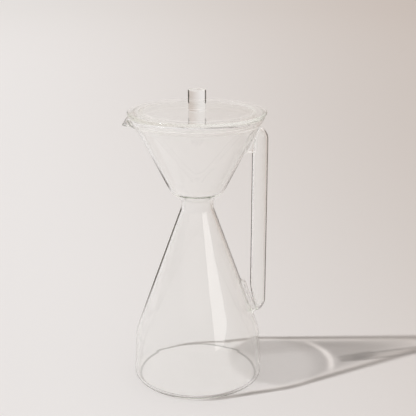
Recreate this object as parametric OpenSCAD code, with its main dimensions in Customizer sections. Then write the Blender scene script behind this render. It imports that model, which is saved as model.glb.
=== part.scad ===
// Hourglass pour-over dripper and carafe in clear glass, with a loose glass lid.
// Frame: the origin is the middle of the base, on the surface it stands on.
// +Z is up, the handle is on +X and the pouring spout on -X.

/* [Vessel] */
// Height of the rim above the surface
rim_height = 240; // [236:1:246]
// Thickness of the vessel's glass
wall = 2.2; // [1.8:0.1:2.6]
// Radius where the lower wall would meet the surface, before rounding
foot_radius = 57.7; // [56:0.1:60]
// Rounding between the flat base and the lower wall
foot_fillet = 5.9; // [4:0.1:8]

/* [Flask] */
// Radius of the flask's shoulder
shoulder_radius = 55.3; // [54:0.1:56]
// Height of the flask's shoulder
shoulder_height = 43; // [38:1:48]
// Rounding of the flask's shoulder
shoulder_fillet = 20; // [10:1:30]

/* [Neck] */
// Outer radius of the neck
neck_radius = 14.2; // [13.5:0.1:15]
// Height where the flask's cone meets the neck
neck_bottom = 157.2; // [156:0.1:158]
// Height where the neck meets the funnel's floor
neck_top = 165.6; // [165:0.1:167]
// Rounding between the flask's cone and the neck
neck_bottom_fillet = 12; // [8:1:14]
// Rounding between the neck and the funnel's floor
neck_top_fillet = 9; // [5:0.5:10]

/* [Funnel] */
// Radius of the funnel's floor
floor_radius = 23.2; // [22:0.1:24.5]
// Height of the funnel's floor at its edge
floor_height = 172.2; // [171.5:0.1:173]
// Rounding between the floor and the cone
floor_fillet = 6; // [3:0.5:7]
// Radius of the funnel's cone at the rim
mouth_radius = 57.5; // [56.5:0.1:58]
// Half the thickness of the fire-polished rim bead
bead_radius = 1.85; // [1.6:0.05:2.1]
// Height of the rim bead
bead_height = 7; // [5:0.5:9]

/* [Spout] */
// Distance from the axis to the spout's tip
spout_reach = 63.3; // [61:0.1:65]
// Slope of the spout below the horizontal
spout_slope = 24; // [18:1:30]
// Outer radius of the spout at its tip
spout_tip_radius = 3.6; // [3:0.1:4.5]
// Outer radius of the spout at its root
spout_root_radius = 11; // [9:0.5:12]
// Thickness of the spout's glass
spout_wall = 1.7; // [1.4:0.1:2]

/* [Handle] */
// Distance from the vessel's axis to the handle's axis
handle_reach = 53.6; // [53:0.1:54.5]
// Outer radius of the handle's tube
tube_radius = 6.75; // [6:0.05:7]
// Thickness of the tube's glass
tube_wall = 1.3; // [1:0.1:1.6]
// Height of the tube's rounded outer top corner
tube_top = 225.5; // [224:0.5:227]
// Height of the tube's rounded outer bottom corner
tube_bottom = 67.3; // [66:0.1:69]

/* [Lid] */
// Radius of the lid's plate
lid_radius = 59.1; // [58:0.1:60]
// Thickness of the lid's plate
lid_thickness = 2.5; // [2:0.1:3]
// Gap between the lid's plate and the rim
lid_gap = 0.3; // [0.2:0.05:0.5]
// Outer radius of the ring that centres the lid in the funnel
ring_radius = 49; // [47:0.5:50]
// Depth of the ring below the plate
ring_depth = 6; // [4.5:0.5:7]
// Thickness of the ring's glass
ring_wall = 2; // [1.5:0.1:2.5]
// Radius of the knob
knob_radius = 7.6; // [7:0.1:9]
// Height of the knob above the plate
knob_height = 18; // [15:1:21]

/* [Hidden] */
$fn = 96;
FILLET_STEP = 12;           // largest angle between two points of a rounded corner
GLASS = [0.84, 0.92, 0.93, 0.45];
GLASS_THICK = [0.72, 0.84, 0.86, 0.6];

// Heights where one section of the vessel is joined to the next
BASE_JOINT = 9;
NECK_LOW_JOINT = 154;
NECK_HIGH_JOINT = 166;
BEAD_JOINT = rim_height - bead_height + bead_radius;

// The spout is a half cone whose axis runs down and outward to the tip
SPOUT_LENGTH = 20;
SPOUT_DROP = 8.7;           // from the rim down to the tip's axis
SPOUT_LIP = 1;              // how far the lips stand above the axis
SPOUT_CLEARANCE = 20;       // the notch that the spout sits in is open to the sky

// The handle's tube
TUBE_INNER_SIDE = handle_reach - tube_radius;
TUBE_OUTER_SIDE = handle_reach + tube_radius;
TUBE_TOP_FILLET = 9;
TUBE_TOP_SLOPE = 0.5;
TUBE_BOTTOM_FILLET = 3.5;
TUBE_HEEL = 83;             // where the slanted lower end leaves the tube's inner side
TUBE_TOE = [52.8, 61.5];    // lowest point of the slanted lower end
WELD_HALF_WIDTH = 5;
WELD_STEP = 0.1;            // how far a weld stays inside the tube's outside

// ---- Outlines with rounded corners. A corner is [x, y, fillet radius]. ----

function flat(p) = [p.x, p.y];
function unit(v) = v / norm(v);
function left_of(v) = [-v.y, v.x];
function turn(u, v) = atan2(u.x * v.y - u.y * v.x, u * v);

// Points of the arc that replaces the corner b between a and c
function fillet_points(a, b, c) =
    let (u = unit(flat(b) - flat(a)),
         v = unit(flat(c) - flat(b)),
         bend = turn(u, v),
         side = sign(bend),
         start = flat(b) - u * b.z * tan(abs(bend) / 2),
         centre = start + left_of(u) * b.z * side,
         steps = max(1, ceil(abs(bend) / FILLET_STEP)),
         spoke = start - centre)
    b.z == 0 ? [flat(b)] :
    [for (i = [0 : steps])
        let (angle = bend * i / steps)
        centre + [spoke.x * cos(angle) - spoke.y * sin(angle),
                  spoke.x * sin(angle) + spoke.y * cos(angle)]];

// Rounded open line through the corners
function rounded_line(corners) =
    let (last = len(corners) - 1)
    concat([flat(corners[0])],
           [for (i = [1 : last - 1], p = fillet_points(corners[i - 1], corners[i], corners[i + 1])) p],
           [flat(corners[last])]);

// Rounded closed outline through the corners
function rounded_loop(corners) =
    let (count = len(corners))
    [for (i = [0 : count - 1],
          p = fillet_points(corners[(i + count - 1) % count], corners[i], corners[(i + 1) % count])) p];

// Open line moved to its left by a distance, with its roundings kept concentric
function line_inset(corners, distance) =
    let (last = len(corners) - 1)
    [for (i = [0 : last])
        let (u = unit(flat(corners[max(i, 1)]) - flat(corners[max(i, 1) - 1])),
             v = unit(flat(corners[min(i, last - 1) + 1]) - flat(corners[min(i, last - 1)])),
             before = left_of(i == 0 ? v : u),
             after = left_of(i == last ? u : v),
             shift = (before + after) / (1 + before * after) * distance,
             radius = corners[i].z == 0 ? 0 : corners[i].z - sign(turn(u, v)) * distance)
        [corners[i].x + shift.x, corners[i].y + shift.y, radius]];

function backwards(points) = [for (i = [len(points) - 1 : -1 : 0]) points[i]];

// ---- The vessel's profile, [radius, height], from the base's middle up to the rim ----

PROFILE = [
    [0, 0, 0],
    [foot_radius, 0, foot_fillet],
    [shoulder_radius, shoulder_height, shoulder_fillet],
    [neck_radius, neck_bottom, neck_bottom_fillet],
    [neck_radius, neck_top, neck_top_fillet],
    [floor_radius, floor_height, floor_fillet],
    [mouth_radius, rim_height, 0]
];
OUTSIDE = rounded_line(PROFILE);
INSIDE = rounded_line(line_inset(PROFILE, wall));

function funnel_radius(z) =
    floor_radius + (mouth_radius - floor_radius) * (z - floor_height) / (rim_height - floor_height);
function flask_radius(z) =
    shoulder_radius + (neck_radius - shoulder_radius) * (z - shoulder_height) / (neck_bottom - shoulder_height);

// Everything inside the vessel's outer surface, grown by a margin
module vessel_blank(margin) {
    outline = rounded_line(line_inset(PROFILE, -margin));
    rotate_extrude() intersection() {
        polygon(concat(outline, [[0, outline[len(outline) - 1].y], [0, outline[0].y]]));
        translate([0, -margin]) square([2 * foot_radius, rim_height + 2 * margin]);
    }
}

// Everything inside the vessel's inner surface, open at the top
module vessel_cavity() {
    rotate_extrude() polygon(concat(INSIDE, [[0, INSIDE[len(INSIDE) - 1].y]]));
}

// Cut through the glass between two heights
module wall_outline(low, high) {
    intersection() {
        polygon(concat(OUTSIDE, backwards(INSIDE)));
        translate([0, low]) square([2 * foot_radius, high - low]);
    }
}

module vessel_section(low, high) {
    rotate_extrude() wall_outline(low, high);
}

// ---- Carafe ----

module flask_base() {
    color(GLASS_THICK) vessel_section(0, BASE_JOINT);
}

module lower_flask() {
    color(GLASS) vessel_section(BASE_JOINT, NECK_LOW_JOINT);
}

module waist_neck() {
    color(GLASS_THICK) vessel_section(NECK_LOW_JOINT, NECK_HIGH_JOINT);
}

module upper_funnel() {
    color(GLASS) difference() {
        vessel_section(NECK_HIGH_JOINT, BEAD_JOINT);
        spout_form(0, SPOUT_CLEARANCE);
    }
}

// Rounded rod bent round the rim, fused on the top edge of the funnel's wall
module rim_bead() {
    slope = (mouth_radius - floor_radius) / (rim_height - floor_height);
    high = [mouth_radius - bead_radius, rim_height - bead_radius];
    low = high - [slope, 1] * (high.y - BEAD_JOINT);
    lean = atan(slope);
    color(GLASS_THICK) difference() {
        rotate_extrude() difference() {
            polygon(concat(
                [for (a = [-lean : 10 : 180 - lean]) high + bead_radius * [cos(a), sin(a)]],
                [for (a = [180 - lean : 10 : 360 - lean]) low + bead_radius * [cos(a), sin(a)]]));
            wall_outline(0, BEAD_JOINT);
        }
        spout_form(0, SPOUT_CLEARANCE);
    }
}

// The spout's half cone, thinned by an inset, with straight sides above its axis
module spout_form(inset, side_height) {
    tip = spout_tip_radius - inset;
    root = spout_root_radius - inset;
    translate([-spout_reach, 0, rim_height - SPOUT_DROP]) rotate([0, 90 - spout_slope, 0]) {
        intersection() {
            cylinder(h = SPOUT_LENGTH, r1 = tip, r2 = root);
            translate([0, -root, 0]) cube([root, 2 * root, SPOUT_LENGTH]);
        }
        rotate([0, -90, 0]) linear_extrude(side_height)
            polygon([[0, -tip], [SPOUT_LENGTH, -root], [SPOUT_LENGTH, root], [0, tip]]);
    }
}

// Trough that carries the pour over the rim
module pour_spout() {
    color(GLASS_THICK) difference() {
        spout_form(0, SPOUT_LIP);
        spout_form(spout_wall, SPOUT_CLEARANCE);
        vessel_cavity();
    }
}

// Side view of the handle from its slanted lower end round the outside to its top
TUBE_SIDE = [
    [TUBE_INNER_SIDE - tube_radius, TUBE_TOE.y + (TUBE_HEEL - TUBE_TOE.y)
        * (TUBE_TOE.x - TUBE_INNER_SIDE + tube_radius) / (TUBE_TOE.x - TUBE_INNER_SIDE), 0],
    [TUBE_TOE.x, TUBE_TOE.y, 2],
    [TUBE_OUTER_SIDE, tube_bottom, TUBE_BOTTOM_FILLET],
    [TUBE_OUTER_SIDE, tube_top, TUBE_TOP_FILLET],
    [TUBE_INNER_SIDE, tube_top + TUBE_TOP_SLOPE * 2 * tube_radius, 0]
];

// The handle as a solid rod, thinned by an inset, that runs on into the funnel
module handle_rod(inset) {
    side = rounded_line(line_inset(TUBE_SIDE, inset));
    end = side[len(side) - 1];
    intersection() {
        translate([handle_reach, 0, 0]) cylinder(h = rim_height, r = tube_radius - inset);
        side_extrusion(tube_radius)
            polygon(concat(side, [[side[0].x, end.y]]));
    }
}

// Extrudes a side view, drawn as [x, z], to both sides of the handle's plane
module side_extrusion(half_width) {
    rotate([90, 0, 0]) linear_extrude(2 * half_width, center = true) children();
}

// Plain hollow tube, closed at both ends
module handle_tube() {
    color(GLASS) difference() {
        handle_rod(0);
        vessel_blank(0);
        difference() {
            handle_rod(tube_wall);
            vessel_blank(tube_wall);
        }
    }
}

// Glass run in between the tube and the vessel, inside a side view
module handle_weld(side) {
    color(GLASS_THICK) difference() {
        intersection() {
            linear_extrude(rim_height) {
                translate([handle_reach, 0]) circle(r = tube_radius - WELD_STEP);
                translate([0, -WELD_HALF_WIDTH]) square([handle_reach, 2 * WELD_HALF_WIDTH]);
            }
            side_extrusion(tube_radius) polygon(side);
        }
        vessel_blank(0);
        handle_rod(0);
    }
}

module handle_upper_weld() {
    low = 207;
    high = 222;
    handle_weld(rounded_loop([
        [funnel_radius(low) - wall, low, 0],
        [handle_reach - tube_radius / 2, low, 1.5],
        [handle_reach - tube_radius / 2, high, 0],
        [funnel_radius(high) - wall, high, 0]
    ]));
}

module handle_lower_weld() {
    top = 88.5;
    handle_weld(rounded_loop([
        [flask_radius(top) - wall, top, 0],
        [TUBE_INNER_SIDE + 2, top, 3],
        [TUBE_INNER_SIDE + 2, TUBE_HEEL, 0],
        [TUBE_TOE.x, TUBE_TOE.y, 0.5],
        [flask_radius(TUBE_TOE.y - 1), TUBE_TOE.y - 1, 0]
    ]));
}

// ---- Lid ----

PLATE_BOTTOM = rim_height + lid_gap;
PLATE_TOP = PLATE_BOTTOM + lid_thickness;

module lid_plate() {
    color(GLASS) rotate_extrude() polygon(rounded_loop([
        [0, PLATE_BOTTOM, 0],
        [lid_radius, PLATE_BOTTOM, 0.8],
        [lid_radius, PLATE_TOP, 1.2],
        [0, PLATE_TOP, 0]
    ]));
}

module lid_locating_ring() {
    color(GLASS_THICK) rotate_extrude() polygon(rounded_loop([
        [ring_radius - ring_wall, PLATE_BOTTOM - ring_depth, 0.8],
        [ring_radius, PLATE_BOTTOM - ring_depth, 0.8],
        [ring_radius, PLATE_BOTTOM, 0],
        [ring_radius - ring_wall, PLATE_BOTTOM, 0]
    ]));
}

module lid_knob() {
    color(GLASS_THICK) rotate_extrude() polygon(rounded_loop([
        [0, PLATE_TOP, 0],
        [knob_radius, PLATE_TOP, 0],
        [knob_radius, PLATE_TOP + knob_height, 1.2],
        [0, PLATE_TOP + knob_height, 0]
    ]));
}

flask_base();
lower_flask();
waist_neck();
upper_funnel();
rim_bead();
pour_spout();
handle_tube();
handle_upper_weld();
handle_lower_weld();
lid_plate();
lid_locating_ring();
lid_knob();
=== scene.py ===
"""Looks of a clear glass hourglass pour-over dripper and carafe with a loose glass lid."""

import math

import bpy
import numpy as np
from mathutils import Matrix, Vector


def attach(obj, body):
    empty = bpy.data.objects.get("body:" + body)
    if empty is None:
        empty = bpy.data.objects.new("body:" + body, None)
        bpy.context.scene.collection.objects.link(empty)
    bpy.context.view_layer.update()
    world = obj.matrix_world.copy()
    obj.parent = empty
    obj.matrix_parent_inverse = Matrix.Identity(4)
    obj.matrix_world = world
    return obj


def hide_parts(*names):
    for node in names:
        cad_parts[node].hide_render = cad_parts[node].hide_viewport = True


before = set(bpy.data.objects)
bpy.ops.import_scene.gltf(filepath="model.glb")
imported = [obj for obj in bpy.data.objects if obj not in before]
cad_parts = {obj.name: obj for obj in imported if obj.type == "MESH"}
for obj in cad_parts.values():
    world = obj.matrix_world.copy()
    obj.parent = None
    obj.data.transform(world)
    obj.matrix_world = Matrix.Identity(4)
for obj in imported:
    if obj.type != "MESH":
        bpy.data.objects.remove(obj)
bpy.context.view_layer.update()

MM = 0.001

# ---- Sizes in millimetres, the same as the CAD's ----
RIM_HEIGHT = 240.0
WALL = 2.2
MOUTH_RADIUS = 57.5
FLOOR_RADIUS, FLOOR_HEIGHT, FLOOR_ROUND = 23.2, 172.2, 6
NECK_RADIUS, NECK_BOTTOM, NECK_TOP = 14.2, 157.2, 165.6
NECK_BOTTOM_ROUND, NECK_TOP_ROUND = 12, 9
SHOULDER_RADIUS, SHOULDER_HEIGHT, SHOULDER_ROUND = 55.3, 43.0, 20
FOOT_RADIUS, FOOT_ROUND = 57.7, 5.9
LID_RADIUS, LID_THICKNESS, LID_GAP = 59.05, 2.5, 0.3
RING_RADIUS, RING_WALL, RING_DEPTH = 49.0, 2.0, 6.0
KNOB_RADIUS, KNOB_HEIGHT = 7.6, 18.0
HANDLE_REACH, TUBE_RADIUS, TUBE_WALL = 53.6, 6.75, 1.3

# Gaps that keep two glass surfaces from coinciding
FOOT_GAP = 0.05      # flat of the base over the floor
CONTACT_GAP = 0.03   # handle off the vessel
KNOB_GAP = 0.02      # knob over the lid's plate

VESSEL_SIDES, LID_SIDES, KNOB_SIDES = 288, 224, 128

FUNNEL_SLOPE = (MOUTH_RADIUS - FLOOR_RADIUS) / (RIM_HEIGHT - FLOOR_HEIGHT)
FLASK_SLOPE = (NECK_RADIUS - SHOULDER_RADIUS) / (NECK_BOTTOM - SHOULDER_HEIGHT)

# Outer cones: slope, and the radius at a height
FUNNEL_CONE = (FUNNEL_SLOPE, FLOOR_RADIUS, FLOOR_HEIGHT)
FLASK_CONE = (FLASK_SLOPE, SHOULDER_RADIUS, SHOULDER_HEIGHT)


# ---- Outlines: corners are (x, y, rounding radius) ----

def rounded_corner(before, corner, after, step=4.0):
    """Points of the arc that replaces a corner, a few degrees apart."""
    a, b, c = (np.array(p[:2], float) for p in (before, corner, after))
    u = (b - a) / np.linalg.norm(b - a)
    v = (c - b) / np.linalg.norm(c - b)
    bend = math.atan2(u[0] * v[1] - u[1] * v[0], u @ v)
    radius = corner[2]
    if radius == 0 or abs(bend) < 1e-6:
        return [b]
    side = math.copysign(1, bend)
    start = b - u * radius * math.tan(abs(bend) / 2)
    centre = start + np.array([-u[1], u[0]]) * radius * side
    spoke = start - centre
    steps = max(2, math.ceil(abs(math.degrees(bend)) / step))
    points = []
    for i in range(steps + 1):
        t = bend * i / steps
        turned = (spoke[0] * math.cos(t) - spoke[1] * math.sin(t),
                  spoke[0] * math.sin(t) + spoke[1] * math.cos(t))
        points.append(centre + np.array(turned))
    return points


def rounded_line(corners, longest=4.0):
    """Open line through rounded corners, with long straight stretches divided."""
    points = [np.array(corners[0][:2], float)]
    for before, corner, after in zip(corners, corners[1:], corners[2:]):
        points += rounded_corner(before, corner, after)
    points.append(np.array(corners[-1][:2], float))
    divided = [points[0]]
    for a, b in zip(points, points[1:]):
        pieces = max(1, math.ceil(np.linalg.norm(b - a) / longest))
        divided += [a + (b - a) * i / pieces for i in range(1, pieces + 1)]
    return np.array(divided)


# ---- Meshes ----

def new_object(name, points, faces, normals=None):
    """Smooth mesh in the scene, from points in metres."""
    mesh = bpy.data.meshes.new(name)
    mesh.from_pydata([tuple(p) for p in points], [], [tuple(f) for f in faces])
    mesh.validate()
    mesh.polygons.foreach_set("use_smooth", [True] * len(mesh.polygons))
    if normals is not None:
        mesh.normals_split_custom_set_from_vertices([tuple(n) for n in normals])
    mesh.update()
    piece = bpy.data.objects.new(name, mesh)
    bpy.context.scene.collection.objects.link(piece)
    return piece


def lathe(name, line, angles, reshape=None):
    """Closed mesh turned round Z from a line, in millimetres, that starts and ends on the axis."""
    inner = line[1:-1]
    rings = len(inner)
    count = len(angles)
    radius = np.repeat(inner[:, 0][:, None], count, 1)
    height = np.repeat(inner[:, 1][:, None], count, 1)
    if reshape is not None:
        radius, height = reshape(radius, height, angles[None, :])
    ring_points = np.stack([radius * np.cos(angles), radius * np.sin(angles), height], -1).reshape(-1, 3)
    poles = np.array([[0, 0, line[0][1]], [0, 0, line[-1][1]]])
    points = np.concatenate([ring_points, poles]) * MM
    first_pole, last_pole = rings * count, rings * count + 1
    faces = []
    for j in range(count):
        k = (j + 1) % count
        faces.append((first_pole, k, j))
        for i in range(rings - 1):
            faces.append((i * count + j, i * count + k, (i + 1) * count + k, (i + 1) * count + j))
        top = (rings - 1) * count
        faces.append((last_pole, top + j, top + k))
    return new_object(name, points, faces)


# ---- Vessel: flask, neck, funnel, rim bead and spout in one skin ----

SPOUT_PULL, SPOUT_PULL_WIDTH = 6.2, 7.0       # outward, at the tip
SPOUT_SAG, SPOUT_SAG_WIDTH = 3.0, 14.0        # the rim's gentle dip on both sides
SPOUT_DROOP, SPOUT_DROOP_WIDTH = 5.4, 4.6     # the tip's own droop
SPOUT_START, SPOUT_END = 222.0, 238.5         # heights between which the wall bends into the spout
SPOUT_CROWDING = 0.6                          # how much closer together the mesh's lines run there


def funnel_point(height, outward):
    """A point beside the funnel's outer line, some way out from it."""
    lean = math.atan(FUNNEL_SLOPE)
    radius = FLOOR_RADIUS + FUNNEL_SLOPE * (height - FLOOR_HEIGHT)
    return radius + outward * math.cos(lean), height - outward * math.sin(lean)


def line_inset(corners, distance):
    """Corners moved to the left of an open line by a distance, with concentric roundings."""
    flat = [np.array(c[:2], float) for c in corners]
    steps = [(b - a) / np.linalg.norm(b - a) for a, b in zip(flat, flat[1:])]
    moved = []
    for i, corner in enumerate(corners):
        u, v = steps[max(i - 1, 0)], steps[min(i, len(steps) - 1)]
        before, after = np.array([-u[1], u[0]]), np.array([-v[1], v[0]])
        shift = (before + after) / (1 + before @ after) * distance
        bend = math.copysign(1, u[0] * v[1] - u[1] * v[0])
        radius = corner[2] - bend * distance if corner[2] else 0
        moved.append((corner[0] + shift[0], corner[1] + shift[1], radius))
    return moved


BEAD_TOP, BEAD_FOOT = RIM_HEIGHT - 0.4, RIM_HEIGHT - 8.5
BEAD_OUT, BEAD_IN = 0.95, 0.4


def vessel_line():
    """Outline of the glass from the middle of the base's underside to the middle of its top."""
    profile = [
        (0, FOOT_GAP, 0),
        (FOOT_RADIUS, FOOT_GAP, FOOT_ROUND),
        (SHOULDER_RADIUS, SHOULDER_HEIGHT, SHOULDER_ROUND),
        (NECK_RADIUS, NECK_BOTTOM, NECK_BOTTOM_ROUND),
        (NECK_RADIUS, NECK_TOP, NECK_TOP_ROUND),
        (FLOOR_RADIUS, FLOOR_HEIGHT, FLOOR_ROUND),
        (*funnel_point(BEAD_FOOT, 0), 0),
    ]
    bead = [
        (*funnel_point(BEAD_FOOT, 0), 5),
        (*funnel_point(BEAD_FOOT + 2.3, BEAD_OUT), 4),
        (*funnel_point(BEAD_TOP + 0.8, BEAD_OUT), 1.8),
        (*funnel_point(BEAD_TOP - 0.8, -WALL - BEAD_IN), 1.8),
        (*funnel_point(BEAD_FOOT + 1.7, -WALL - BEAD_IN), 5),
        (*funnel_point(BEAD_FOOT, -WALL), 5),
    ]
    return rounded_line(profile[:-1] + bead + line_inset(profile, WALL)[-2::-1])


def pull_spout(radius, height, angles):
    """Bends the rim outward and down at -X."""
    along = np.abs((angles % (2 * math.pi)) - math.pi) * MOUTH_RADIUS
    rise = np.clip((height - SPOUT_START) / (SPOUT_END - SPOUT_START), 0, 1)
    ease = rise * rise * (3 - 2 * rise)
    pull = SPOUT_PULL * np.exp(-(along / SPOUT_PULL_WIDTH) ** 2)
    sag = SPOUT_SAG * np.exp(-(along / SPOUT_SAG_WIDTH) ** 2)
    droop = SPOUT_DROOP * np.exp(-(along / SPOUT_DROOP_WIDTH) ** 2)
    return radius + pull * ease, height - (sag + droop) * ease * rise


def even_angles(count):
    return np.arange(count) / count * 2 * math.pi


def crowded_angles(count, crowding):
    """Angles round the axis, closer together near -X."""
    u = even_angles(count)
    return u + math.pi - crowding * np.sin(u)


def make_vessel():
    return lathe("vessel", vessel_line(), crowded_angles(VESSEL_SIDES, SPOUT_CROWDING), pull_spout)


# ---- Lid ----

def make_lid_plate():
    bottom = RIM_HEIGHT + LID_GAP
    top = bottom + LID_THICKNESS
    inner, outer = RING_RADIUS - RING_WALL, RING_RADIUS
    line = rounded_line([
        (0, bottom, 0),
        (inner, bottom, 0.9),
        (inner, bottom - RING_DEPTH, 0.9),
        (outer, bottom - RING_DEPTH, 0.9),
        (outer, bottom, 0.9),
        (LID_RADIUS, bottom, 1.0),
        (LID_RADIUS, top, 1.3),
        (0, top, 0),
    ])
    return lathe("lid_plate", line, even_angles(LID_SIDES))


def make_knob():
    bottom = RIM_HEIGHT + LID_GAP + LID_THICKNESS + KNOB_GAP
    top = bottom + KNOB_HEIGHT - KNOB_GAP
    line = rounded_line([
        (0, bottom, 0),
        (KNOB_RADIUS, bottom, 0.25),
        (KNOB_RADIUS, top, 1.1),
        (0, top, 0),
    ], longest=1.5)
    return lathe("lid_knob", line, even_angles(KNOB_SIDES))


# ---- Handle: an implicit solid, negative inside, in millimetres ----

def round_both(a, b, radius):
    """Inside both, with the shared edge rounded."""
    u = np.maximum(radius + a, 0)
    v = np.maximum(radius + b, 0)
    return np.minimum(-radius, np.maximum(a, b)) + np.hypot(u, v)


def round_either(a, b, radius):
    """Inside either, with the shared crease filled."""
    u = np.maximum(radius - a, 0)
    v = np.maximum(radius - b, 0)
    return np.maximum(radius, np.minimum(a, b)) - np.hypot(u, v)


def cone_distance(x, y, z, slope, radius, height):
    """Signed distance from the cone round Z that has this radius at this height."""
    return (np.hypot(x, y) - radius - slope * (z - height)) / math.hypot(1, slope)


def funnel_distance(x, y, z):
    return cone_distance(x, y, z, *FUNNEL_CONE)


def flask_distance(x, y, z):
    return cone_distance(x, y, z, *FLASK_CONE)


def side_line(x, z, start, end):
    """Signed distance in the side view from the line start-end, positive on its right-hand side."""
    length = math.hypot(end[0] - start[0], end[1] - start[1])
    dx, dz = (end[0] - start[0]) / length, (end[1] - start[1]) / length
    return (x - start[0]) * dz - (z - start[1]) * dx


TUBE_HEEL, TUBE_TOE = (HANDLE_REACH - TUBE_RADIUS, 83.0), (52.8, 61.5)
TUBE_OUTER_LOW, TUBE_OUTER_HIGH = (60.35, 67.3), (60.35, 225.5)
TOP_ROUND, LOW_ROUND, HEEL_ROUND, FUNNEL_SIDE_ROUND = 6.5, 3.5, 1.2, 1.0
UPPER_WELD_HALF_WIDTH, UPPER_WELD_LOW, UPPER_WELD_HIGH, UPPER_WELD_OUT = 4.6, 207.0, 224.0, 51.0
LOWER_WELD_HALF_WIDTH, LOWER_WELD_HIGH, LOWER_WELD_DEPTH = 5.4, 89.0, 3.6
WELD_FILLET, WALL_FILLET = 1.5, 2.2
HOLLOW_ROUNDING = 0.8   # the hollow's roundings, as a share of the tube's


def tube_form(x, y, z, inset, rounding):
    """The tube's outer form, or its hollow when inset by the glass thickness."""
    d = np.hypot(x - HANDLE_REACH, y) - TUBE_RADIUS + inset
    top = side_line(x, z, TUBE_OUTER_HIGH, (TUBE_OUTER_HIGH[0] - 10, TUBE_OUTER_HIGH[1] + 5)) + inset
    low = side_line(x, z, TUBE_TOE, TUBE_OUTER_LOW) + inset
    cut = side_line(x, z, TUBE_HEEL, TUBE_TOE) + inset
    d = round_both(d, top, TOP_ROUND * rounding)
    d = round_both(d, low, LOW_ROUND * rounding)
    d = round_both(d, cut, HEEL_ROUND * rounding)
    return round_both(d, inset - funnel_distance(x, y, z), FUNNEL_SIDE_ROUND * rounding)


def handle_form(x, y, z):
    """The tube and its two welds, cut off just outside the vessel, less the hollow."""
    tube = tube_form(x, y, z, 0.0, 1.0)
    hollow = tube_form(x, y, z, TUBE_WALL, HOLLOW_ROUNDING)
    upper = round_both(np.abs(y) - UPPER_WELD_HALF_WIDTH, UPPER_WELD_LOW - z, 2.0)
    upper = round_both(upper, x - UPPER_WELD_OUT, 1.0)
    upper = round_both(upper, z - UPPER_WELD_HIGH, 1.0)
    lower = round_both(np.abs(y) - LOWER_WELD_HALF_WIDTH, z - LOWER_WELD_HIGH, 3.0)
    lower = round_both(lower, flask_distance(x, y, z) - LOWER_WELD_DEPTH, 2.0)
    lower = round_both(lower, side_line(x, z, (TUBE_TOE[0] - 7, TUBE_TOE[1] - 3.0), TUBE_TOE), 1.5)
    solid = round_either(tube, upper, WELD_FILLET)
    solid = round_either(solid, lower, WELD_FILLET)
    wall = np.minimum(funnel_distance(x, y, z), flask_distance(x, y, z))
    solid = round_either(solid, wall, WALL_FILLET)
    solid = np.maximum(solid, CONTACT_GAP - wall)
    return np.maximum(solid, -hollow)


def implicit_mesh(name, form, low, high, cell):
    """Closed quad mesh of the surface form = 0, one point in each cell that it crosses."""
    low, high, cell = (np.array(v, float) for v in (low, high, cell))
    size = np.ceil((high - low) / cell).astype(int)
    axes = [low[i] + cell[i] * np.arange(size[i] + 1) for i in range(3)]
    grid = np.stack(np.meshgrid(*axes, indexing="ij"), -1)
    value = form(grid[..., 0], grid[..., 1], grid[..., 2])
    inside = value < 0
    total = np.zeros(tuple(size) + (3,))
    hits = np.zeros(tuple(size))
    for axis in range(3):
        take = [slice(None)] * 3
        follow = [slice(None)] * 3
        take[axis], follow[axis] = slice(0, -1), slice(1, None)
        a, b = value[tuple(take)], value[tuple(follow)]
        crossed = inside[tuple(take)] != inside[tuple(follow)]
        share = np.where(crossed, a / np.where(crossed, a - b, 1), 0)
        points = grid[tuple(take)].copy()
        points[..., axis] += share * cell[axis]
        others = [i for i in range(3) if i != axis]
        for first in (0, 1):
            for second in (0, 1):
                window = [slice(None)] * 3
                window[others[0]] = slice(first, first + size[others[0]])
                window[others[1]] = slice(second, second + size[others[1]])
                mask = crossed[tuple(window)]
                total += np.where(mask[..., None], points[tuple(window)], 0)
                hits += mask
    used = hits > 0
    number = -np.ones(tuple(size), int)
    number[used] = np.arange(used.sum())
    points = total[used] / hits[used][:, None]
    faces = []
    for axis in range(3):
        one, two = [i for i in range(3) if i != axis]
        inner = [slice(None)] * 3
        inner[one], inner[two] = slice(1, size[one]), slice(1, size[two])
        take, follow = list(inner), list(inner)
        take[axis], follow[axis] = slice(0, -1), slice(1, None)
        start_in = inside[tuple(take)]
        crossed = start_in != inside[tuple(follow)]
        where = np.argwhere(crossed)
        where[:, one] += 1
        where[:, two] += 1
        corner = []
        for d_one, d_two in ((1, 1), (0, 1), (0, 0), (1, 0)):
            cell_index = where.copy()
            cell_index[:, one] -= d_one
            cell_index[:, two] -= d_two
            corner.append(number[tuple(cell_index.T)])
        quads = np.stack(corner, -1)
        flip = start_in[crossed] == (axis == 1)
        quads[flip] = quads[flip][:, ::-1]
        faces.append(quads)
    points, normals = settle(form, points, cell)
    return new_object(name, points * MM, np.concatenate(faces).tolist(), normals)


def slope_of(form, points, reach=0.02):
    """Gradient of form by central differences."""
    slopes = []
    for step in np.eye(3) * reach:
        slopes.append((form(*(points + step).T) - form(*(points - step).T)) / (2 * reach))
    return np.stack(slopes, -1)


def settle(form, points, cell):
    """Moves points onto the surface and returns them with their normals."""
    start = points.copy()
    for _ in range(5):
        gradient = slope_of(form, points)
        length = np.maximum((gradient ** 2).sum(-1), 0.05)
        points = points - gradient * (form(*points.T) / length)[:, None]
        drift = np.clip(points - start, -cell * 0.7, cell * 0.7)
        points = start + drift
    gradient = slope_of(form, points)
    return points, gradient / np.maximum(np.linalg.norm(gradient, axis=1, keepdims=True), 1e-9)


HANDLE_LOW, HANDLE_HIGH, HANDLE_CELL = (38.0, -9.0, 56.0), (62.0, 9.0, 234.0), (0.35, 0.35, 0.5)


def make_handle():
    return implicit_mesh("handle", handle_form, HANDLE_LOW, HANDLE_HIGH, HANDLE_CELL)


# ---- Materials ----

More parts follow.
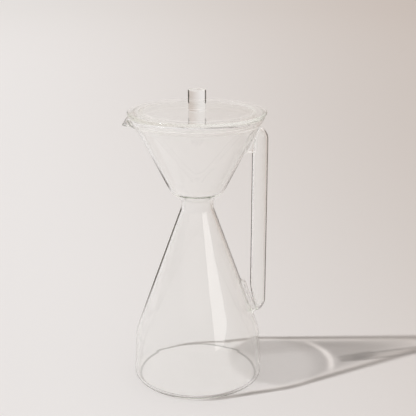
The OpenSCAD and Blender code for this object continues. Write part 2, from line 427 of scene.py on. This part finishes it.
def math_node(tree, operation, *values):
    """A math node whose inputs are numbers or other nodes' outputs."""
    node = tree.nodes.new("ShaderNodeMath")
    node.operation = operation
    for socket, value in zip(node.inputs, values):
        if isinstance(value, (int, float)):
            socket.default_value = value
        else:
            tree.links.new(value, socket)
    return node.outputs[0]


def soft_step(tree, value, start, end):
    """0 at start and 1 at end, with soft shoulders."""
    ramp = tree.nodes.new("ShaderNodeMapRange")
    ramp.interpolation_type = "SMOOTHSTEP"
    ramp.inputs["From Min"].default_value = start
    ramp.inputs["From Max"].default_value = end
    tree.links.new(value, ramp.inputs["Value"])
    return ramp.outputs["Result"]


def vector_node(tree, operation, *values):
    """A vector math node whose inputs are tuples or other nodes' outputs."""
    node = tree.nodes.new("ShaderNodeVectorMath")
    node.operation = operation
    for socket, value in zip(node.inputs, values):
        if isinstance(value, tuple):
            socket.default_value = value
        else:
            tree.links.new(value, socket)
    return node


def surface_vector(tree, kind):
    """The point in the piece's own frame, in metres ("Object"), or its normal there ("Normal")."""
    return tree.nodes.new("ShaderNodeTexCoord").outputs[kind]


def one_axis(tree, vector, axis):
    split = tree.nodes.new("ShaderNodeSeparateXYZ")
    tree.links.new(vector, split.inputs[0])
    return split.outputs[axis]


def place_part(tree, axis):
    return one_axis(tree, surface_vector(tree, "Object"), axis)


def normal_part(tree, axis):
    return one_axis(tree, surface_vector(tree, "Normal"), axis)


def turning_radius(tree):
    """Distance of a point from the piece's own Z axis."""
    parts = [place_part(tree, axis) for axis in "XY"]
    squares = [math_node(tree, "MULTIPLY", part, part) for part in parts]
    return math_node(tree, "SQRT", math_node(tree, "ADD", *squares))


def band(tree, value, start, full, leave, end):
    """1 between full and leave, and 0 before start and after end."""
    rise = soft_step(tree, value, start, full)
    fall = soft_step(tree, value, end, leave)
    return math_node(tree, "MULTIPLY", rise, fall)


def outer_skin(tree, reach):
    """1 where the surface faces away from the upright axis at x = reach, 0 where it faces it."""
    place, normal = surface_vector(tree, "Object"), surface_vector(tree, "Normal")
    from_axis = vector_node(tree, "MULTIPLY_ADD", place, (1, 1, 0), (-reach, 0, 0))
    facing = vector_node(tree, "DOT_PRODUCT", from_axis.outputs[0], normal)
    return math_node(tree, "GREATER_THAN", facing.outputs["Value"], 0.0)


STEEP_STEP = (0.72, 0.52)   # the normal's Z, from flat to upright


def steepness(tree):
    """1 where the surface is upright, 0 where it lies flat."""
    return soft_step(tree, math_node(tree, "ABSOLUTE", normal_part(tree, "Z")), *STEEP_STEP)


def mixed_colour(tree, share, first, second):
    """Colour between two, each a tuple or another node's output."""
    mix = tree.nodes.new("ShaderNodeMix")
    mix.data_type = "RGBA"
    for socket, value in ((mix.inputs["A"], first), (mix.inputs["B"], second)):
        if isinstance(value, tuple):
            socket.default_value = (*value, 1)
        else:
            tree.links.new(value, socket)
    tree.links.new(share, mix.inputs["Factor"])
    return mix.outputs["Result"]


def mixed_shader(tree, share, first, second):
    """Surface between two shaders, the second one where share is 1."""
    mix = tree.nodes.new("ShaderNodeMixShader")
    tree.links.new(share, mix.inputs["Fac"])
    tree.links.new(first.outputs[0], mix.inputs[1])
    tree.links.new(second.outputs[0], mix.inputs[2])
    return mix


# ---- Glass ----

GLASS_IOR = 1.47
CLEAR = (0.997, 0.998, 0.996)
# painted shade: the dark colour that the glass takes along its outlines
PAINTED_EDGE_SHADE = (0.12, 0.105, 0.09)
SMALLEST_TURN = 0.012   # radius below which a turned form's outline gets no wider, in metres

# Edges of the painted outline, of the painted shadow's dark line and of its painted bright fringe, in widths
# of the line
LINE_EDGE, DARK_EDGE, FRINGE_EDGE = (1.15, 0.7), (1.1, 0.7), (1.45, 1.15)

# What is left of the painted dark outline at the waist, on the right and on wide parts
WAIST_LINE, RIGHT_LINE, WIDE_LINE = 0.1, 0.55, 0.12

# Strength of the painted shade lines at the vessel's foot, where it stands on the floor, and on the spout's
# lip
FOOT_SHADE_LINE, LIP_SHADE_LINE = 0.42, 0.14

# Where the painted outline changes, in metres: soft steps are (from, to), bands (start, full, leave, end)
FUNNEL_STEP, FUNNEL_SHIFT = (0.160, 0.170), 0.012   # the funnel counts as this much wider
WIDE_STEP = (0.056, 0.036)
RIGHT_STEP = (0.5, -0.5)                            # the normal's X, from right to left
WAIST_BAND = (0.156, 0.160, 0.174, 0.183)
FOOT_HEIGHT_STEP, FOOT_RADIUS_STEP = (0.0009, 0.0002), (0.0509, 0.0516)
LIP_PLACE_STEP, LIP_HEIGHT_STEP = (-0.0578, -0.0600), (0.2300, 0.2325)
WELD_GAP_STEP = (0.0006, 0.0022)
KNOB_FOOT_STEP = (0.2485, 0.2500)

FLAT_DEPTH = 3.0   # counts as this far inside the outline, so that a flat skin has no dark line

# Painted colours that the glass gives its shadow, with a bright arc and fringe standing in for light the
# glass focuses
SHADE_LOW, SHADE_CLEAR = (0.985, 0.985, 0.985), (0.83, 0.825, 0.82)
SHADE_BACK = (0.72, 0.71, 0.70)
# the arc's colour, above 1, is painted light focused by the shoulder
SHADE_DIM, SHADE_ARC = (0.83, 0.825, 0.82), (1.36, 1.355, 1.35)
SHADE_BRIGHT, SHADE_DARK = (1.0, 0.995, 0.99), (0.58, 0.56, 0.54)

# Where those colours change, in metres
SHOULDER_STEP = (0.053, 0.058)
BACK_STEP = (-0.004, 0.014)
FAR_SIDE_STEP = (0.0, 0.02)
DIM_BAND = (0.030, 0.046, 0.048, 0.050)
ARC_BAND = (0.0485, 0.0505, 0.0525, 0.0545)
HANDLE_FOOT_STEP = (0.070, 0.082)


def gap_to_vessel(tree):
    """How far the handle's surface stands off the funnel or the flask, level, in metres."""
    gaps = []
    for slope, radius, height in (FUNNEL_CONE, FLASK_CONE):
        wall = math_node(tree, "MULTIPLY_ADD", place_part(tree, "Z"), slope, (radius - slope * height) * MM)
        gaps.append(math_node(tree, "SUBTRACT", turning_radius(tree), wall))
    return math_node(tree, "MINIMUM", *gaps)


def outline_depth(tree, curve):
    """Root of the millimetres by which a ray passes inside the outline of a form of this radius."""
    weight = tree.nodes.new("ShaderNodeLayerWeight")
    weight.inputs["Blend"].default_value = 0.5
    cosine = math_node(tree, "SUBTRACT", 1.0, weight.outputs["Facing"])
    # the cosine of a ray that passes one millimetre inside
    one_in = math_node(tree, "SQRT", math_node(tree, "DIVIDE", 2 * MM, curve))
    return math_node(tree, "DIVIDE", cosine, one_in)


def near_outline(tree, depth, width, edge):
    """1 on a line of this width in millimetres along the outline, 0 further in."""
    outer, inner = edge
    return soft_step(tree, depth, outer * math.sqrt(width), inner * math.sqrt(width))


def weakened(tree, line, where, left):
    """The line where `where` is 0, and only the share `left` of it where that is 1."""
    return math_node(tree, "MULTIPLY", line, math_node(tree, "MULTIPLY_ADD", where, left - 1.0, 1.0))


def strengthened(tree, line, where, left):
    """The line where `where` is 1, and only the share `left` of it where that is 0."""
    return math_node(tree, "MULTIPLY", line, math_node(tree, "MULTIPLY_ADD", where, 1.0 - left, left))


def turned_line(tree, line, curve):
    """Painted dark outline of a turned form: faint at the waist and where it is wide, with a painted shade
    ring at the foot and a painted dark line on the lip.
    """
    height = place_part(tree, "Z")
    funnel = soft_step(tree, height, *FUNNEL_STEP)
    narrow = soft_step(tree, math_node(tree, "MULTIPLY_ADD", funnel, FUNNEL_SHIFT, curve), *WIDE_STEP)
    line = strengthened(tree, line, narrow, WIDE_LINE)
    line = weakened(tree, line, band(tree, height, *WAIST_BAND), WAIST_LINE)
    line = strengthened(tree, line, soft_step(tree, normal_part(tree, "X"), *RIGHT_STEP), RIGHT_LINE)
    # painted shade: a dark ring where the foot stands on the floor
    foot = soft_step(tree, height, *FOOT_HEIGHT_STEP)
    foot = math_node(tree, "MULTIPLY", foot, soft_step(tree, curve, *FOOT_RADIUS_STEP))
    line = math_node(tree, "MAXIMUM", line, math_node(tree, "MULTIPLY", foot, FOOT_SHADE_LINE))
    # painted shade: a dark line along the spout's lip
    lip = math_node(tree, "MULTIPLY", soft_step(tree, place_part(tree, "X"), *LIP_PLACE_STEP), LIP_SHADE_LINE)
    lip = math_node(tree, "MULTIPLY", lip, soft_step(tree, height, *LIP_HEIGHT_STEP))
    return math_node(tree, "MAXIMUM", line, lip)


def outline(tree, depth, curve, width, radius, welded):
    """1 on the painted dark outline, 0 elsewhere."""
    line = near_outline(tree, depth, width, LINE_EDGE)
    side = tree.nodes.new("ShaderNodeNewGeometry")
    line = math_node(tree, "MULTIPLY", line, math_node(tree, "SUBTRACT", 1.0, side.outputs["Backfacing"]))
    line = math_node(tree, "MULTIPLY", line, steepness(tree))
    line = math_node(tree, "MULTIPLY", line, outer_skin(tree, HANDLE_REACH * MM if welded else 0.0))
    if radius is None:
        return turned_line(tree, line, curve)
    if welded:
        return math_node(tree, "MULTIPLY", line, soft_step(tree, gap_to_vessel(tree), *WELD_GAP_STEP))
    return math_node(tree, "MULTIPLY", line, soft_step(tree, place_part(tree, "Z"), *KNOB_FOOT_STEP))


def facing_shade(tree, shade_dark, welded):
    """Colour of the shadow of glass that the light meets face on, painted by height and side.

    On the side away from the sun, the shoulder's shadow has a painted bright arc of focused light, with a
    painted dim one below it.
    """
    height = place_part(tree, "Z")
    if welded:
        return mixed_colour(tree, soft_step(tree, height, *HANDLE_FOOT_STEP), shade_dark, SHADE_CLEAR)
    back = soft_step(tree, place_part(tree, "Y"), *BACK_STEP)
    upper = mixed_colour(tree, back, SHADE_CLEAR, SHADE_BACK)
    shade = mixed_colour(tree, soft_step(tree, height, *SHOULDER_STEP), SHADE_LOW, upper)
    far = soft_step(tree, place_part(tree, "X"), *FAR_SIDE_STEP)
    for place, colour in ((DIM_BAND, SHADE_DIM), (ARC_BAND, SHADE_ARC)):
        share = math_node(tree, "MULTIPLY", far, band(tree, height, *place))
        shade = mixed_colour(tree, share, shade, colour)
    return shade


def shadow_colour(tree, depth, width, shade_dark, welded):
    """Painted colour of the shadow: dark where the glass is edge on, with a painted bright fringe of light
    inside that.
    """
    flat_depth = math_node(tree, "MULTIPLY_ADD", steepness(tree), -FLAT_DEPTH, FLAT_DEPTH)
    depth = math_node(tree, "ADD", depth, flat_depth)
    face = facing_shade(tree, shade_dark, welded)
    fringe = mixed_colour(tree, near_outline(tree, depth, width, FRINGE_EDGE), face, SHADE_BRIGHT)
    return mixed_colour(tree, near_outline(tree, depth, width, DARK_EDGE), fringe, shade_dark)


def glass(name, line_width, shade_width, line_strength=1.0, shade_dark=SHADE_DARK, radius=None, welded=False):
    """Clear glass with thin painted dark outlines standing in for the shade at its edges, and a painted
    shadow that is darkest where it is edge on.

    The widths are in millimetres. radius is the form's radius in metres, or None for a form
    turned round the piece's Z axis, whose outlines then fade where it is wide.
    """
    material = bpy.data.materials.new(name)
    material.use_nodes = True
    tree = material.node_tree
    tree.nodes.clear()
    curve = radius or math_node(tree, "MAXIMUM", turning_radius(tree), SMALLEST_TURN)
    depth = outline_depth(tree, curve)

    clear = tree.nodes.new("ShaderNodeBsdfGlass")
    clear.inputs["Roughness"].default_value = 0.0
    clear.inputs["IOR"].default_value = GLASS_IOR
    line = math_node(tree, "MULTIPLY", outline(tree, depth, curve, line_width, radius, welded), line_strength)
    # painted shade: the outline darkens the glass's own colour
    tree.links.new(mixed_colour(tree, line, CLEAR, PAINTED_EDGE_SHADE), clear.inputs["Color"])

    through = tree.nodes.new("ShaderNodeBsdfTransparent")
    shade = shadow_colour(tree, depth, shade_width, shade_dark, welded)
    tree.links.new(shade, through.inputs["Color"])

    path = tree.nodes.new("ShaderNodeLightPath")
    seen = mixed_shader(tree, path.outputs["Is Diffuse Ray"], clear, through)
    surface = mixed_shader(tree, path.outputs["Is Shadow Ray"], seen, through)
    output = tree.nodes.new("ShaderNodeOutputMaterial")
    tree.links.new(surface.outputs[0], output.inputs["Surface"])
    return material


# ---- Paper ----

# Painted shade: the paper's colour darkens and warms towards the far right, standing in for the light's
# falloff; far off it glows, as painted light
PAPER_LIT_NEAR, PAPER_SHADED_FAR = (0.82, 0.805, 0.796), (0.546, 0.487, 0.445)
GLOW_NEAR, GLOW_FAR = (0.79, 0.757, 0.735), (0.55, 0.47, 0.42)
GLOW_STEP = (1.6, 4.5)             # distances, in metres, over which the paper comes to glow
FADE_CENTRE = (0, -0.9, -0.7)      # the colour depends on the direction from here
FADE_DIRECTION = (1.0, 0.745, 0)
FADE_STEP = (0.453, 1.101)


def paper():
    """Pale studio paper, darkening and warming towards the far right as painted shade of the light's falloff,
    and glowing by itself far off as painted light.
    """
    material = bpy.data.materials.new("studio_paper")
    material.use_nodes = True
    tree = material.node_tree
    shader = tree.nodes["Principled BSDF"]
    shader.inputs["Roughness"].default_value = 0.9
    shader.inputs["Specular IOR Level"].default_value = 0.15
    place = surface_vector(tree, "Object")
    outward = vector_node(tree, "SUBTRACT", place, FADE_CENTRE)
    unit = vector_node(tree, "NORMALIZE", outward.outputs[0])
    far_right = vector_node(tree, "DOT_PRODUCT", unit.outputs[0], FADE_DIRECTION)
    # painted shade: the colour is darker and warmer towards the far right
    right = soft_step(tree, far_right.outputs["Value"], *FADE_STEP)
    tree.links.new(mixed_colour(tree, right, PAPER_LIT_NEAR, PAPER_SHADED_FAR), shader.inputs["Base Color"])
    glow = tree.nodes.new("ShaderNodeEmission")
    tree.links.new(mixed_colour(tree, right, GLOW_NEAR, GLOW_FAR), glow.inputs["Color"])
    distance = vector_node(tree, "LENGTH", place)
    # painted light: far off, the paper glows
    surface = mixed_shader(tree, soft_step(tree, distance.outputs["Value"], *GLOW_STEP), shader, glow)
    tree.links.new(surface.outputs[0], tree.nodes["Material Output"].inputs["Surface"])
    return material


# ---- The object ----

vessel_glass = glass("vessel_glass", line_width=1.1, shade_width=3.0)
handle_glass = glass("handle_glass", line_width=0.6, shade_width=1.3, shade_dark=(0.45, 0.43, 0.41),
                     radius=TUBE_RADIUS * MM, welded=True)
lid_glass = glass("lid_glass", line_width=0.3, shade_width=1.5, line_strength=0.5)
knob_glass = glass("knob_glass", line_width=1.0, shade_width=4.0, shade_dark=(0.32, 0.30, 0.27),
                   radius=KNOB_RADIUS * MM)

PIECES = [
    (make_vessel, "carafe", "vessel_glass", vessel_glass,
     ("flask_base", "lower_flask", "waist_neck", "upper_funnel", "rim_bead", "pour_spout")),
    (make_handle, "carafe", "handle_glass", handle_glass,
     ("handle_tube", "handle_upper_weld", "handle_lower_weld")),
    (make_lid_plate, "lid", "lid_glass", lid_glass, ("lid_plate", "lid_locating_ring")),
    (make_knob, "lid", "knob_glass", knob_glass, ("lid_knob",)),
]
pieces = []
for make, body, slot, material, nodes in PIECES:
    piece = make()
    pieces.append(piece)
    piece.data.materials.append(material)
    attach(piece, body)
    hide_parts(*nodes)

# ---- Studio ----

SWEEP_FLAT, SWEEP_RADIUS, SWEEP_HEIGHT, SWEEP_SIDES = 5400.0, 800.0, 1700.0, 96


def make_sweep():
    """Floor that curves up into a round wall, 6.2 metres from the object."""
    line = rounded_line([(0, 0, 0), (SWEEP_FLAT + SWEEP_RADIUS, 0, SWEEP_RADIUS),
                         (SWEEP_FLAT + SWEEP_RADIUS, SWEEP_HEIGHT, 0)], longest=300)
    count = SWEEP_SIDES
    angles = even_angles(count)
    rings = line[1:]
    points = np.concatenate([np.stack([r * np.cos(angles), r * np.sin(angles), np.full(count, z)], -1)
                             for r, z in rings] + [np.zeros((1, 3))])
    faces = [(len(points) - 1, j, (j + 1) % count) for j in range(count)]
    for i in range(len(rings) - 1):
        for j in range(count):
            k = (j + 1) % count
            faces.append((i * count + j, (i + 1) * count + j, (i + 1) * count + k, i * count + k))
    sweep = new_object("studio_sweep", points * MM, faces)
    sweep.data.materials.append(paper())
    sweep.visible_shadow = False


def towards(azimuth, elevation):
    """Unit vector to a place in the studio: azimuth 0 is behind the camera, 90 on its left."""
    a, e = math.radians(azimuth), math.radians(elevation)
    return Vector((-math.sin(a) * math.cos(e), -math.cos(a) * math.cos(e), math.sin(e)))


def aim(light, azimuth, elevation, distance):
    """Puts a light in the scene, turned to the middle of the object."""
    centre = Vector((0, 0, RIM_HEIGHT / 2 * MM))
    light.location = centre + towards(azimuth, elevation) * distance
    light.rotation_mode = "QUATERNION"
    light.rotation_quaternion = (centre - light.location).to_track_quat("-Z", "Y")
    bpy.context.scene.collection.objects.link(light)


def sun_light(name, azimuth, elevation, strength, angle, colour):
    data = bpy.data.lights.new(name, "SUN")
    data.energy = strength
    data.angle = math.radians(angle)
    data.color = colour
    aim(bpy.data.objects.new(name, data), azimuth, elevation, 2.0)


def area_light(name, azimuth, elevation, distance, width, height, radiance, colour, mirrored_in):
    """A soft box that lights nothing and is only mirrored, by the given pieces."""
    data = bpy.data.lights.new(name, "AREA")
    data.shape = "RECTANGLE"
    data.size, data.size_y = width, height
    data.energy = radiance * math.pi * width * height
    data.color = colour
    light = bpy.data.objects.new(name, data)
    light.visible_camera = light.visible_diffuse = light.visible_transmission = False
    receivers = bpy.data.collections.new(name + "_receivers")
    for piece in mirrored_in:
        receivers.objects.link(piece)
    light.light_linking.receiver_collection = receivers
    aim(light, azimuth, elevation, distance)


ROOM_SEEN, ROOM_LIGHT = (0.98, 0.93, 0.90), (0.35, 0.34, 0.335)


def make_world():
    """Dim light for the floor, and a brighter room for the glass to mirror."""
    world = bpy.data.worlds.new("studio")
    world.use_nodes = True
    nodes, links = world.node_tree.nodes, world.node_tree.links
    background = nodes["Background"]
    path = nodes.new("ShaderNodeLightPath")
    colour = mixed_colour(world.node_tree, path.outputs["Is Diffuse Ray"], ROOM_SEEN, ROOM_LIGHT)
    links.new(colour, background.inputs["Color"])
    bpy.context.scene.world = world


vessel, handle = pieces[:2]
make_sweep()
make_world()
sun_light("sun", azimuth=75, elevation=34, strength=3.5, angle=1.8, colour=(1.0, 0.985, 0.98))
area_light("window", azimuth=63, elevation=36, distance=1.7, width=0.12, height=0.9,
           radiance=12.0, colour=(1.0, 0.99, 0.98), mirrored_in=pieces)
# the lid would mirror the card as a white disc when seen from behind
area_light("card", azimuth=-48, elevation=15.5, distance=1.5, width=0.84, height=0.44,
           radiance=3.0, colour=(1.0, 0.98, 0.96), mirrored_in=(vessel, handle))

# ---- Camera: the photograph's viewpoint ----

CAMERA_PLACE = (0.0092, -0.7389, 0.3860)
CAMERA_PITCH = 17.24   # degrees below the level
BOUNCES = 96           # with 24, the rim, the waist and the foot render darker

camera_data = bpy.data.cameras.new("camera")
camera_data.lens = 77.0
camera_data.sensor_width = 36.0
camera_data.clip_start, camera_data.clip_end = 0.05, 20
camera = bpy.data.objects.new("camera", camera_data)
camera.location = CAMERA_PLACE
camera.rotation_euler = (math.radians(90 - CAMERA_PITCH), 0, 0)
bpy.context.scene.collection.objects.link(camera)
bpy.context.scene.camera = camera

scene = bpy.context.scene
scene.view_settings.view_transform = "Standard"
scene.cycles.max_bounces = BOUNCES
scene.cycles.transmission_bounces = BOUNCES
scene.cycles.glossy_bounces = BOUNCES
scene.cycles.transparent_max_bounces = 24
